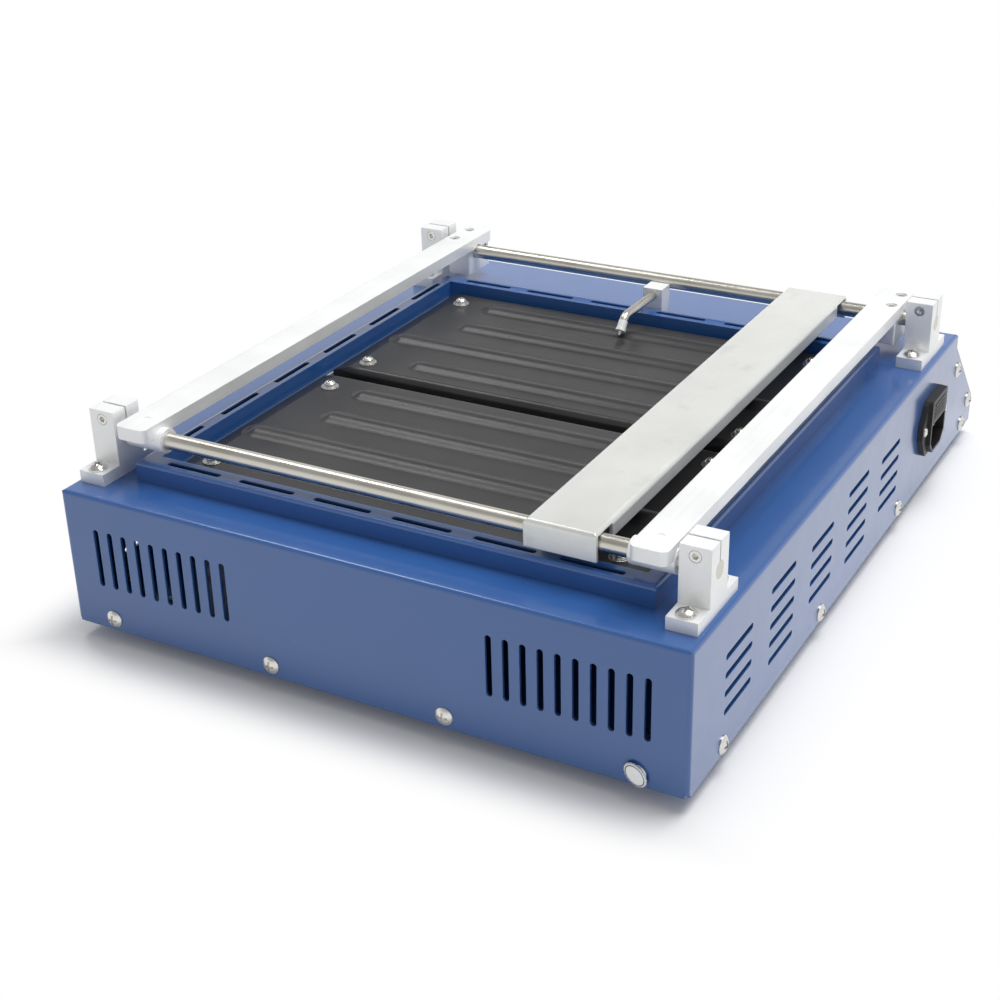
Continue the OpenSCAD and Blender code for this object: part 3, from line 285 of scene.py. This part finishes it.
def clear_glass():
    """The fuse's tube, slightly hazed."""
    s = Shader("fuse_glass")
    haze = s.noise(300, detail=2)
    s.colour(s.mix(haze, *GLASS))
    s.rough(s.ramp(haze, WIDE, out=(0.02, 0.08)))
    s.put(transmission=0.9, ior=1.5)
    return s.mat


MATERIALS = {
    "case_paint": case_paint(),
    "heater_black": heater_black(),
    "galvanised_sheet": galvanised(),
    "plated_steel": bright_metal(
        "plated_steel", (0.66, 0.65, 0.62), (0.78, 0.77, 0.74), rough=0.26, stretch=EVEN,
        grain=700, depth=0.02 * MM, edge=0.3 * MM),
    "rod_steel": bright_metal(
        "rod_steel", (0.56, 0.54, 0.48), (0.68, 0.66, 0.6), rough=0.3, stretch=ALONG_X,
        grain=120, depth=0.01 * MM, edge=0.2 * MM),
    "bare_aluminium": bright_metal(
        "bare_aluminium", (0.86, 0.87, 0.87), (0.97, 0.98, 0.98), rough=0.45, stretch=ALONG_Y,
        grain=150, depth=0.03 * MM, metallic=0.35),
    "pin_brass": bright_metal(
        "pin_brass", (0.74, 0.7, 0.58), (0.84, 0.81, 0.7), rough=0.25, stretch=ALONG_X, grain=200),
    "ceramic_fibre": fibre(),
    "mica": moulded(
        "mica", (0.4, 0.34, 0.23), (0.55, 0.48, 0.34), rough=0.6, grain=500, depth=0.1 * MM),
    "black_plastic": moulded(
        "black_plastic", (0.013, 0.012, 0.013), (0.022, 0.021, 0.022), rough=0.4),
    "grey_plastic": moulded("grey_plastic", (0.36, 0.37, 0.39), (0.43, 0.44, 0.46), rough=0.45),
    "pale_plastic": moulded("pale_plastic", (0.66, 0.64, 0.57), (0.74, 0.72, 0.65), rough=0.4),
    "red_plastic": moulded(
        "red_plastic", (0.36, 0.008, 0.007), (0.46, 0.016, 0.012), rough=0.16,
        grain=900, depth=0.02 * MM),
    "dark_window": moulded(
        "dark_window", (0.012, 0.003, 0.003), (0.018, 0.005, 0.005), rough=0.1,
        grain=900, depth=0.01 * MM),
    "foot_rubber": moulded(
        "foot_rubber", (0.014, 0.014, 0.014), (0.026, 0.026, 0.026), rough=0.7,
        grain=800, depth=0.1 * MM),
    "board_green": board_mask(),
    "fuse_glass": clear_glass(),
}


def paint(obj, mat):
    obj.data.materials.clear()
    obj.data.materials.append(mat)


for part in frame["record"]["subparts"]:
    paint(nodes[part["node"]], MATERIALS[part["material_slot"]])


# Pieces that only the looks need

WELD = 1e-7


def finish_piece(bm, name, body, slot):
    """Close a mesh and hang it on a body as a piece of its own."""
    bmesh.ops.remove_doubles(bm, verts=bm.verts, dist=WELD)
    bmesh.ops.recalc_face_normals(bm, faces=bm.faces)
    mesh = bpy.data.meshes.new(name)
    bm.to_mesh(mesh)
    bm.free()
    obj = bpy.data.objects.new(name, mesh)
    scene.collection.objects.link(obj)
    paint(obj, MATERIALS[slot])
    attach(obj, body)


def circle(radius, count, start=0.0):
    """Points (x, y) round a circle, from an angle on."""
    angles = [start + FULL_TURN * k / count for k in range(count)]
    return [(radius * math.cos(a), radius * math.sin(a)) for a in angles]


def spin_profile(bm, points, matrix, steps):
    """A solid of revolution about z from (radius, z) points, placed by matrix."""
    rings = []
    for r, z in points:
        spots = circle(r, steps) if r else [(0, 0)]
        rings.append([bm.verts.new(matrix @ Vector((x, y, z))) for x, y in spots])
    for low, high in zip(rings, rings[1:]):
        for k in range(steps):
            j = (k + 1) % steps
            if len(low) == 1:
                bm.faces.new((low[0], high[k], high[j]))
            elif len(high) == 1:
                bm.faces.new((low[k], low[j], high[0]))
            else:
                bm.faces.new((low[k], low[j], high[j], high[k]))


def prism(bm, outline, matrix, low, high):
    """A flat outline of (x, y) points, raised from low to high along z and placed by matrix."""
    floor = [bm.verts.new(matrix @ Vector((x, y, low))) for x, y in outline]
    roof = [bm.verts.new(matrix @ Vector((x, y, high))) for x, y in outline]
    bm.faces.new(floor[::-1])
    bm.faces.new(roof)
    for k in range(len(outline)):
        j = (k + 1) % len(outline)
        bm.faces.new((floor[k], floor[j], roof[j], roof[k]))


def stand(origin, normal, along):
    """A frame at origin whose z is normal and whose x lies along the given direction."""
    z = normal.normalized()
    y = z.cross(along).normalized()
    x = y.cross(z)
    return Matrix.Translation(origin) @ Matrix((x, y, z)).transposed().to_4x4()


# An oval foil seal with a plain ring, over the rear screw next to the mains side.
# The profiles are (share of the half width, height in foil thicknesses); the edge droops and waves.
FOIL_LONG, FOIL_SHORT, FOIL_T = 6.3 * MM, 4.4 * MM, 0.2 * MM
FOIL_TURN = math.radians(48.6)
FOIL_STEPS = 160
FOIL_PROFILE = (
    (0.0, -1.0), (0.8, -1.4), (0.92, -2.6), (0.99, -5.6), (1.0, -5.0), (0.96, -2.2), (0.9, -0.7),
    (0.86, -0.3), (0.84, -0.7), (0.76, -0.7), (0.74, -0.2), (0.5, -0.05), (0.0, -0.05),
)
FOIL_RING = ((0.77, -0.9), (0.83, -0.9), (0.83, -0.35), (0.77, -0.35), (0.77, -0.9))
FOIL_WAVES, FOIL_WAVE, FOIL_FADE = 20, 0.025, 4
SCREW_HEAD_R = 4.4 * MM


def foil_seal():
    low, high = (Vector(v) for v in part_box("rear_case_screws"))
    screw = Vector((low.x + SCREW_HEAD_R, high.y, (low.z + high.z) / 2))
    along = Vector((math.cos(FOIL_TURN), 0, math.sin(FOIL_TURN)))
    size = Matrix.Diagonal((FOIL_LONG, FOIL_SHORT, FOIL_T, 1))
    place = stand(screw, Vector((0, 1, 0)), along) @ size
    back = place.inverted()
    bm = bmesh.new()
    spin_profile(bm, FOIL_PROFILE, place, FOIL_STEPS)
    for vert in bm.verts:
        local = back @ vert.co
        turn = math.atan2(local.y, local.x)
        out = math.hypot(local.x, local.y)
        swell = 1 - FOIL_WAVE * out ** FOIL_FADE * (1 + math.cos(FOIL_WAVES * turn))
        vert.co = place @ Vector((local.x * swell, local.y * swell, local.z))
    finish_piece(bm, "foil_oval", "chassis", "bare_aluminium")
    bm = bmesh.new()
    spin_profile(bm, FOIL_RING, place, FOIL_STEPS)
    finish_piece(bm, "foil_ring", "chassis", "black_plastic")


# Two screw heads in the mains inlet's ears; the profile is in shares of their radius and height
EAR_SCREW_R, EAR_SCREW_H = 2.5 * MM, 1.1 * MM
EAR_IN = 4.0 * MM
FACE_STEP = 2.0 * MM
EAR_STEPS = 32
EAR_PROFILE = (
    (0.0, -0.3), (1.0, -0.3), (1.0, 0.35), (0.8, 0.75), (0.45, 0.98), (0.36, 1.0), (0.3, 0.55),
    (0.0, 0.5),
)


def ear_screws():
    low, high = (Vector(v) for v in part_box("inlet_housing"))
    size = Matrix.Diagonal((EAR_SCREW_R, EAR_SCREW_R, EAR_SCREW_H, 1))
    bm = bmesh.new()
    for y in (low.y + EAR_IN, high.y - EAR_IN):
        seat = Vector((low.x + FACE_STEP, y, (low.z + high.z) / 2))
        place = stand(seat, Vector((-1, 0, 0)), Vector((0, 0, 1)))
        spin_profile(bm, EAR_PROFILE, place @ size, EAR_STEPS)
    finish_piece(bm, "ear_screws", "chassis", "plated_steel")


# Marks on the slanted panel: figures in the window, signs on the keys and rockers
SLOPE_OUT = Vector((0, -1, 1)).normalized()
ACROSS = Vector((1, 0, 0))
MARK_T = 0.06 * MM


def bar(x, y, length, width, upright):
    """The outline of one stroke of a figure, with pointed ends."""
    half, w = length / 2, width / 2
    points = ((-half, 0), (w - half, -w), (half - w, -w), (half, 0), (half - w, w), (w - half, w))
    return [(x - v, y + u) if upright else (x + u, y + v) for u, v in points]


def facing(node, direction, least=0.9):
    """The flat faces of a CAD node that look along direction: (area, middle, normal), largest first."""
    groups = {}
    for face in nodes[node].data.polygons:
        if face.normal.dot(direction) > least:
            key = tuple(round(c, 2) for c in face.normal)
            area, total, normal = groups.get(key, (0.0, Vector(), face.normal.copy()))
            groups[key] = (area + face.area, total + face.area * face.center, normal)
    flats = [(area, total / area, normal) for area, total, normal in groups.values()]
    return sorted(flats, key=lambda flat: -flat[0])


# Rows of figures: height of the row's middle, figure height, figure width, pitch
FIGURE_ROWS = (
    (4.8 * MM, 8.6 * MM, 5.2 * MM, 8.6 * MM),
    (-5.4 * MM, 6.4 * MM, 3.8 * MM, 6.4 * MM),
)
FIGURES = 4
STROKE_SHARE = 1 / 6


def figure(x, y, high, wide):
    """The seven strokes of one figure."""
    stroke = wide * STROKE_SHARE
    level = [bar(x, y + k * high / 2, wide, stroke, False) for k in (-1, 0, 1)]
    corners = [(sx, sy) for sx in (-1, 1) for sy in (-1, 1)]
    upright = [bar(x + sx * wide / 2, y + sy * high / 4, high / 2, stroke, True) for sx, sy in corners]
    return level + upright


def window_figures():
    _, seat, out = facing("controller_window", SLOPE_OUT)[0]
    place = stand(seat, out, ACROSS)
    bm = bmesh.new()
    for up, high, wide, pitch in FIGURE_ROWS:
        for k in range(FIGURES):
            for outline in figure((k - (FIGURES - 1) / 2) * pitch, up, high, wide):
                prism(bm, outline, place, -MARK_T, MARK_T)
    finish_piece(bm, "window_figures", "chassis", "red_plastic")


DOT_R, DOT_STEPS, ARROW_R = 1.3 * MM, 24, 1.6 * MM
KEY_SIGNS = {
    "key_set": circle(DOT_R, DOT_STEPS),
    "key_shift": circle(ARROW_R, 3, math.pi),
    "key_down": circle(ARROW_R, 3, -math.pi / 2),
    "key_up": circle(ARROW_R, 3, math.pi / 2),
}


def key_signs():
    for key, outline in KEY_SIGNS.items():
        _, seat, out = facing(key, SLOPE_OUT)[0]
        bm = bmesh.new()
        prism(bm, outline, stand(seat, out, ACROSS), -MARK_T, MARK_T)
        finish_piece(bm, key + "_sign", key, "black_plastic")


# Size of each rocker's signs as a share of the power switch's
ROCKERS = {"power_rocker": 1.0, "rear_zone_rocker": 0.65, "front_zone_rocker": 0.65}
SIGN_R, SIGN_W, SIGN_L = 2.6 * MM, 0.8 * MM, 5.0 * MM
SIGN_STEPS = 32


def rocker_signs():
    """A stroke on the upper half of each rocker and a ring on its lower half."""
    for rocker, share in ROCKERS.items():
        flats = sorted(facing(rocker, SLOPE_OUT)[:2], key=lambda flat: flat[1].z)
        inner = SIGN_R * share
        outer = inner + SIGN_W
        ring = ((inner, -MARK_T), (outer, -MARK_T), (outer, MARK_T), (inner, MARK_T), (inner, -MARK_T))
        bm = bmesh.new()
        _, seat, out = flats[0]
        spin_profile(bm, ring, stand(seat, out, ACROSS), SIGN_STEPS)
        _, seat, out = flats[-1]
        stroke = bar(0, 0, SIGN_L * share, SIGN_W, True)
        prism(bm, stroke, stand(seat, out, ACROSS), -MARK_T, MARK_T)
        finish_piece(bm, rocker + "_signs", rocker, "pale_plastic")


foil_seal()
ear_screws()
window_figures()
key_signs()
rocker_signs()


# Camera, fitted to the photo with no shift
PHOTO_PX = 1000
FOCAL_PX = 1721.47
SENSOR_MM = 36.0
CLIP_NEAR, CLIP_FAR = 0.01, 100.0
CAMERA_PLACE = Vector((-0.374137, 0.738931, 0.432084))
CAMERA_RIGHT = Vector((-0.87634, -0.48119, -0.02190))
CAMERA_BACK = Vector((-0.43826, 0.77764, 0.45078))


def make_camera():
    data = bpy.data.cameras.new("camera")
    data.sensor_width = SENSOR_MM
    data.lens = FOCAL_PX / PHOTO_PX * SENSOR_MM
    data.clip_start = CLIP_NEAR
    data.clip_end = CLIP_FAR
    camera = bpy.data.objects.new("camera", data)
    scene.collection.objects.link(camera)
    scene.camera = camera
    right = CAMERA_RIGHT.normalized()
    back = CAMERA_BACK.normalized()
    up = back.cross(right).normalized()
    turn = Matrix((right, up, back)).transposed().to_4x4()
    camera.matrix_world = Matrix.Translation(CAMERA_PLACE) @ turn


# Floor, surroundings and light

def ray_kinds(tree):
    """Two switches: 1 for rays from the camera, and 1 for rays off gloss or through glass."""
    path = tree.nodes.new("ShaderNodeLightPath").outputs
    shiny = math_node(tree, "MAXIMUM", path["Is Glossy Ray"], path["Is Transmission Ray"])
    return path["Is Camera Ray"], shiny


def split(tree, coords):
    """The x, y and z of one kind of texture coordinates."""
    parts = tree.nodes.new("ShaderNodeSeparateXYZ")
    tree.links.new(tree.nodes.new("ShaderNodeTexCoord").outputs[coords], parts.inputs[0])
    return parts.outputs


def blend(tree, fac, first, second, output):
    """Show a mix of two shaders."""
    node = tree.nodes.new("ShaderNodeMixShader")
    for socket, source in zip(node.inputs, (fac, first.outputs[0], second.outputs[0])):
        tree.links.new(source, socket)
    tree.links.new(node.outputs[0], tree.nodes[output].inputs["Surface"])


FLOOR_HALF = 14.0
FLOOR_COLOUR = (0.95, 0.95, 0.95, 1.0)
FLOOR_ROUGH, FLOOR_SPECULAR = 0.9, 0.1
# A faint glow for the eye alone, and the distances from the case between which the floor turns white
FLOOR_LIFT = 0.03
WHITE_SPAN = (0.003, 0.042)


def floor_material():
    """A pale floor that keeps the shadow near the case and shows plain white farther out."""
    mat = bpy.data.materials.new("floor_white")
    mat.use_nodes = True
    tree = mat.node_tree
    bsdf = tree.nodes["Principled BSDF"]
    bsdf.inputs["Base Color"].default_value = FLOOR_COLOUR
    bsdf.inputs["Roughness"].default_value = FLOOR_ROUGH
    bsdf.inputs["Specular IOR Level"].default_value = FLOOR_SPECULAR
    direct = math_node(tree, "MAXIMUM", *ray_kinds(tree))
    spot = split(tree, "Object")
    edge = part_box("outer_cover")[1]
    beyond = [
        math_node(tree, "SUBTRACT", math_node(tree, "ABSOLUTE", spot[k], 0.0), edge[k]) for k in (0, 1)
    ]
    away = map_range(tree, math_node(tree, "MAXIMUM", *beyond), WHITE_SPAN, UNIT, "SMOOTHSTEP")
    lift = tree.nodes.new("ShaderNodeEmission")
    tree.links.new(math_node(tree, "MULTIPLY", direct, FLOOR_LIFT), lift.inputs["Strength"])
    near = tree.nodes.new("ShaderNodeAddShader")
    tree.links.new(bsdf.outputs[0], near.inputs[0])
    tree.links.new(lift.outputs[0], near.inputs[1])
    white = tree.nodes.new("ShaderNodeEmission")
    blend(tree, math_node(tree, "MULTIPLY", direct, away), near, white, "Material Output")
    return mat


def make_floor():
    bm = bmesh.new()
    corners = ((-1, -1), (1, -1), (1, 1), (-1, 1))
    bm.faces.new([bm.verts.new((x * FLOOR_HALF, y * FLOOR_HALF, 0.0)) for x, y in corners])
    mesh = bpy.data.meshes.new("floor")
    bm.to_mesh(mesh)
    bm.free()
    floor = bpy.data.objects.new("floor", mesh)
    scene.collection.objects.link(floor)
    paint(floor, floor_material())


# Strength of the sky, and of what gloss shows of it: a backdrop up to a height, then a dimmer ceiling
WHITE = (1.0, 1.0, 1.0, 1.0)
SKY_LIGHT = 0.4
BACKDROP, CEILING = 0.95, 0.4
BACKDROP_TOP, CEILING_FROM = 0.3, 0.5


def make_world():
    """An even sky that the camera sees as white and gloss as a backdrop below a ceiling."""
    world = bpy.data.worlds.new("studio")
    scene.world = world
    world.use_nodes = True
    tree = world.node_tree
    height = split(tree, "Generated")["Z"]
    gloss = map_range(tree, height, (BACKDROP_TOP, CEILING_FROM), (BACKDROP, CEILING), "SMOOTHSTEP")
    camera, shiny = ray_kinds(tree)
    extra = math_node(tree, "SUBTRACT", gloss, SKY_LIGHT)
    level = math_node(tree, "ADD", math_node(tree, "MULTIPLY", shiny, extra), SKY_LIGHT)
    sky = tree.nodes["Background"]
    sky.inputs["Color"].default_value = WHITE
    tree.links.new(level, sky.inputs["Strength"])
    white = tree.nodes.new("ShaderNodeBackground")
    white.inputs["Color"].default_value = WHITE
    blend(tree, camera, sky, white, "World Output")


# Soft boxes: place, edge length and power; all look at the middle of the case
LIGHT_TARGET = Vector((0.0, 0.0, 0.05))
SOFT_BOXES = {
    "key": (Vector((-0.42, -0.26, 1.5)), 1.0, 18.5),
    "edge": (Vector((0.75, -0.25, 1.3)), 0.4, 3.5),
}


def make_lights():
    for name, (place, size, power) in SOFT_BOXES.items():
        data = bpy.data.lights.new(name, "AREA")
        data.shape = "SQUARE"
        data.size = size
        data.energy = power
        light = bpy.data.objects.new(name, data)
        light.location = place
        light.rotation_euler = (LIGHT_TARGET - place).to_track_quat("-Z", "Y").to_euler()
        scene.collection.objects.link(light)


make_camera()
make_floor()
make_world()
make_lights()
scene.view_settings.view_transform = "Standard"
